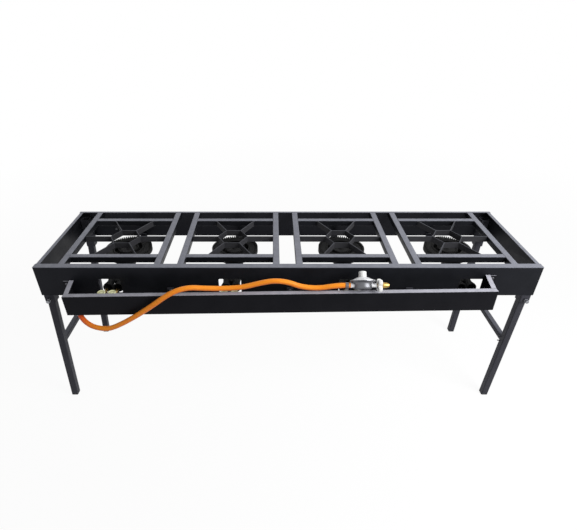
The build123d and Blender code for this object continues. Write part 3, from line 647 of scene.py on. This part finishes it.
knobShape = turnedShape("tapKnob", knobSettings["rings"], knobSettings["sides"])
pickPoints(knobShape, inNotch)
bpy.ops.transform.translate(value=(0, 0, -knobSettings["notch"]))
bpy.ops.object.mode_set(mode="OBJECT")
gripped = columnTest(knobSettings["sides"], knobSettings["gripEvery"], knobSettings["gripFrom"])
drawIn(knobShape, gripped, knobSettings["gripScale"])
applyModifier(knobShape, "BEVEL", knobSettings["edge"])
for number in range(1, 9):
    low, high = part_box(f"tap_knob_{number}")
    x, y, _ = middleOf(low, high)
    knob = setCopy(knobShape, f"tapKnob{number}", (x, y, low[2] + knobSettings["spindle"]))
    handOver(knob, [knobBrass], "brass", f"knob_{number}", [f"tap_knob_{number}"])
bpy.data.objects.remove(knobShape)
print("knobs turned")


# panel screws: round heads with a cross recess
screwSettings = {
    "sides": 32,
    "rings": [(0.0025, -0.009), (0.0025, 0.0), (0.0046, 0.0), (0.0046, 0.0008), (0.0043, 0.0017),
              (0.0035, 0.0024), (0.0018, 0.0028)],
    "head": 0.0028,  # height above the sheet
    "recess": (0.0050, 0.0010, 0.0036),  # length, width and height of each cutting bar, half of it in the head
    "recessTurns": (45, 135),
    "turn": 0.6,  # radians either way, so that no two stand alike
}
screwShape = turnedShape("panelScrew", screwSettings["rings"], screwSettings["sides"])
for angle in screwSettings["recessTurns"]:
    bpy.ops.object.select_all(action="DESELECT")
    bpy.ops.mesh.primitive_cube_add(size=1, location=(0, 0, screwSettings["head"]),
                                    rotation=(0, 0, math.radians(angle)), scale=screwSettings["recess"])
    bar = bpy.context.object
    applyPlace(bar)
    combine(screwShape, bar, "DIFFERENCE")
screws = []
for low, high in solidBoxes("panel_screws"):
    x, _, z = middleOf(low, high)
    turn = (math.radians(90), dice.uniform(-screwSettings["turn"], screwSettings["turn"]), 0)
    screws.append(setCopy(screwShape, "screw", (x, low.y + screwSettings["head"], z), turn))
bpy.data.objects.remove(screwShape)
handOver(joinAll(screws, "panelScrews"), [blackZinc], "zinc_steel", "table", ["panel_screws"])
print("screws set")


# regulator: a drum with a wide crimped flange, drawn upright and leaned back on the lip
regulatorSettings = {
    "place": (0.223, -0.211687, 0.543616),  # middle of the flange solid
    "lean": -41,  # about the long axis of the table
    "sides": 96,
    "body": [(0.0213, -0.0261), (0.0232, -0.0257), (0.0246, -0.0244), (0.0253, -0.0225), (0.0255, -0.0200),
             (0.0255, -0.0130), (0.0260, -0.0108), (0.0274, -0.0090), (0.0298, -0.0074), (0.0330, -0.0064),
             (0.0350, -0.0059), (0.0358, -0.0052), (0.0360, -0.0040), (0.0360, -0.0028)],
    "port": -0.0145,  # height of the tail and neck
    "stubSides": 48,
    "tail": [(0.007, 0.010), (0.007, 0.0320), (0.0076, 0.0325), (0.0076, 0.0350), (0.0066, 0.0355)],
    "neck": [(0.006, 0.010), (0.006, 0.0380), (0.0068, 0.0384), (0.0068, 0.0395)],
    "stubStart": 0.0262,  # from the middle, outside the drum
    "stubTop": 0.5415,  # above the floor, under the flange
    "bonnet": [(0.0360, -0.0028), (0.0360, -0.0020), (0.0354, -0.0014), (0.0340, -0.0009), (0.0320, -0.0003),
               (0.0300, 0.0006), (0.0260, 0.0026), (0.0220, 0.0046), (0.0180, 0.0065), (0.0154, 0.0076),
               (0.0140, 0.0080), (0.0070, 0.0080), (0.0070, 0.0180)],
    "crimpEvery": 4,  # columns of points
    "crimpFrom": 0.0345,  # radius
    "crimpScale": 0.986,
    "capSides": 72,
    "cap": [(0.00705, 0.0183), (0.00705, 0.0083), (0.0106, 0.0083), (0.0111, 0.0090), (0.0111, 0.0220),
            (0.0108, 0.0237), (0.0099, 0.0249), (0.0085, 0.0255), (0.0044, 0.0255), (0.0038, 0.0249),
            (0.0012, 0.0249)],
    "gripEvery": 3,  # columns of points
    "gripFrom": 0.0109,  # radius
    "gripTop": 0.0215,
    "gripScale": 0.97,
}


def leanBack(piece):
    piece.rotation_euler = (math.radians(regulatorSettings["lean"]), 0, 0)
    piece.location = regulatorSettings["place"]
    applyPlace(piece)


def inGrip(co):
    columns = columnTest(
        regulatorSettings["capSides"], regulatorSettings["gripEvery"], regulatorSettings["gripFrom"])
    return columns(co) and co.z < regulatorSettings["gripTop"]


regulatorBody = turnedShape("regulatorBody", regulatorSettings["body"], regulatorSettings["sides"])
for part, side in (("tail", -1), ("neck", 1)):
    stub = turnedShape(part, regulatorSettings[part], regulatorSettings["stubSides"])
    stub.rotation_euler = (0, math.radians(90 * side), 0)
    stub.location = (0, 0, regulatorSettings["port"])
    applyPlace(stub)
    combine(regulatorBody, stub, "UNION")
leanBack(regulatorBody)
handOver(regulatorBody, [dieCast, brightZinc], "die_cast_zinc", "table", ["regulator_body"])
for face in regulatorBody.data.polygons:  # the stubs are turned bright, the drum is left as cast
    outside = abs(face.center.x - regulatorSettings["place"][0]) > regulatorSettings["stubStart"]
    face.material_index = int(outside and face.center.z < regulatorSettings["stubTop"])
regulatorBonnet = turnedShape("regulatorBonnet", regulatorSettings["bonnet"], regulatorSettings["sides"])
crimped = columnTest(
    regulatorSettings["sides"], regulatorSettings["crimpEvery"], regulatorSettings["crimpFrom"])
drawIn(regulatorBonnet, crimped, regulatorSettings["crimpScale"])
leanBack(regulatorBonnet)
handOver(regulatorBonnet, [brightZinc], "die_cast_zinc", "table", ["regulator_bonnet"])
regulatorCap = turnedShape("regulatorCap", regulatorSettings["cap"], regulatorSettings["capSides"])
drawIn(regulatorCap, inGrip, regulatorSettings["gripScale"])
leanBack(regulatorCap)
handOver(regulatorCap, [whiteNylon], "white_plastic", "adjuster_cap", ["regulator_cap"])


# hand nut: a moulded wheel with four fat lobes and deep hollows between them
handNutSettings = {
    "sides": 48,
    "rings": [(0.00505, 0.0060), (0.00505, -0.0060), (0.0110, -0.0060), (0.0160, -0.0062), (0.0192, -0.0058),
              (0.0204, -0.0040), (0.0207, 0.0), (0.0204, 0.0040), (0.0192, 0.0058), (0.0160, 0.0062),
              (0.0110, 0.0060), (0.0052, 0.0060)],
    "lobeColumns": 12,  # columns of points from one lobe's middle to the next
    "hollows": {6: 0.5, 5: 0.54, 4: 0.72, 3: 0.9, 2: 0.98},  # columns from a lobe's middle: scale
    "hollowFrom": 0.0125,  # radius
    "rounding": {"levels": 1, "render_levels": 1},
    "turn": 61,  # it spins freely, and stands with a hollow to the front
}


def hollowTest(away):
    lobeColumns = handNutSettings["lobeColumns"]

    def test(co):
        column = columnOf(co, handNutSettings["sides"]) % lobeColumns
        fromLobe = min(column, lobeColumns - column)
        return fromLobe == away and math.hypot(co.x, co.y) > handNutSettings["hollowFrom"]
    return test


handNut = turnedShape("regulatorHandNut", handNutSettings["rings"], handNutSettings["sides"])
for away, scale in handNutSettings["hollows"].items():
    drawIn(handNut, hollowTest(away), scale)
applyModifier(handNut, "SUBSURF", handNutSettings["rounding"])
handNut.rotation_euler = (0, math.radians(90), 0)
applyPlace(handNut)
handNut.rotation_euler = (math.radians(regulatorSettings["lean"] + handNutSettings["turn"]), 0, 0)
handNut.location = middleOf(*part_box("regulator_hand_nut"))
handOver(handNut, [whiteNylon], "white_plastic", "hand_nut", ["regulator_hand_nut"])
print("regulator made")


# weld beads: small overlapping drops, run into one and laid into the corners where bars meet
weldSettings = {
    "drop": 0.0022,  # radius
    "facets": {"segments": 12, "ring_count": 8},
    "drops": 6,
    "step": 0.0026,  # from one drop to the next
    "stray": 0.0003,  # most that a drop lies to one side
    "swell": (0.93, 1.07),  # smallest and largest next to the drop before
    "voxel": 0.0009,
    "turns": {"x": (0, 0, 0), "z": (0, math.radians(90), 0)},
    # bays: middle of each along the table, their middle across it, height of the beads, then distances
    "bays": (-0.519, -0.165, 0.189, 0.543), "middle": 0.027, "topBead": 0.545,
    "crossBars": 0.122, "barSide": 0.010, "longBarFace": 0.1325, "armFoot": (0.0647, 0.112), "armSide": 0.0025,
    # leg braces: place along the table and height, ends across it, half the thickness
    "bracePlaces": ((-0.7363, 0.254), (0.7315, 0.254)), "braceEnds": (-0.1335, 0.1875), "braceHalf": 0.009,
    # burner bearers: places along the table, ends across it, height of the top
    "bearers": (-0.521, -0.161, 0.199, 0.559), "bearerEnds": (-0.158, 0.212), "bearerTop": 0.465,
}
bpy.ops.object.select_all(action="DESELECT")
bpy.ops.mesh.primitive_uv_sphere_add(radius=weldSettings["drop"], **weldSettings["facets"])
beadShape = bpy.context.object
beadShape.name = "weldBead"
bpy.ops.object.mode_set(mode="EDIT")
bpy.ops.mesh.select_all(action="SELECT")
bpy.ops.transform.translate(value=(-weldSettings["step"] * (weldSettings["drops"] - 1) / 2, 0, 0))
stray = weldSettings["stray"]
for _ in range(weldSettings["drops"] - 1):
    bpy.ops.mesh.duplicate_move(TRANSFORM_OT_translate={
        "value": (weldSettings["step"], dice.uniform(-stray, stray), dice.uniform(-stray, stray))})
    bpy.ops.transform.resize(value=[dice.uniform(*weldSettings["swell"])] * 3)
bpy.ops.object.mode_set(mode="OBJECT")
applyModifier(beadShape, "REMESH", {"mode": "VOXEL", "voxel_size": weldSettings["voxel"]})
beads = []


def layBead(x, y, z, direction):
    beads.append(setCopy(beadShape, "bead", (x, y, z), weldSettings["turns"][direction]))


footX, footY = weldSettings["armFoot"]
for bay in weldSettings["bays"]:
    for sideX in (-1, 1):
        x = bay + sideX * weldSettings["longBarFace"]
        layBead(x, weldSettings["middle"] + weldSettings["armSide"], weldSettings["topBead"], "z")
        for sideY in (-1, 1):
            barY = weldSettings["middle"] + sideY * weldSettings["crossBars"]
            layBead(x, barY - weldSettings["barSide"], weldSettings["topBead"], "z")
            layBead(x, barY + weldSettings["barSide"], weldSettings["topBead"], "z")
            layBead(bay + sideX * (footX + weldSettings["armSide"]), weldSettings["middle"] + sideY * footY,
                    weldSettings["topBead"], "z")
for x, z in weldSettings["bracePlaces"]:
    for y in weldSettings["braceEnds"]:
        for side in (-1, 1):
            layBead(x, y, z + side * weldSettings["braceHalf"], "x")
for x in weldSettings["bearers"]:
    for y in weldSettings["bearerEnds"]:
        layBead(x, y, weldSettings["bearerTop"], "x")
bpy.data.objects.remove(beadShape)
handOver(joinAll(beads, "weldBeads"), [paint], "black_paint")
print("welds laid")
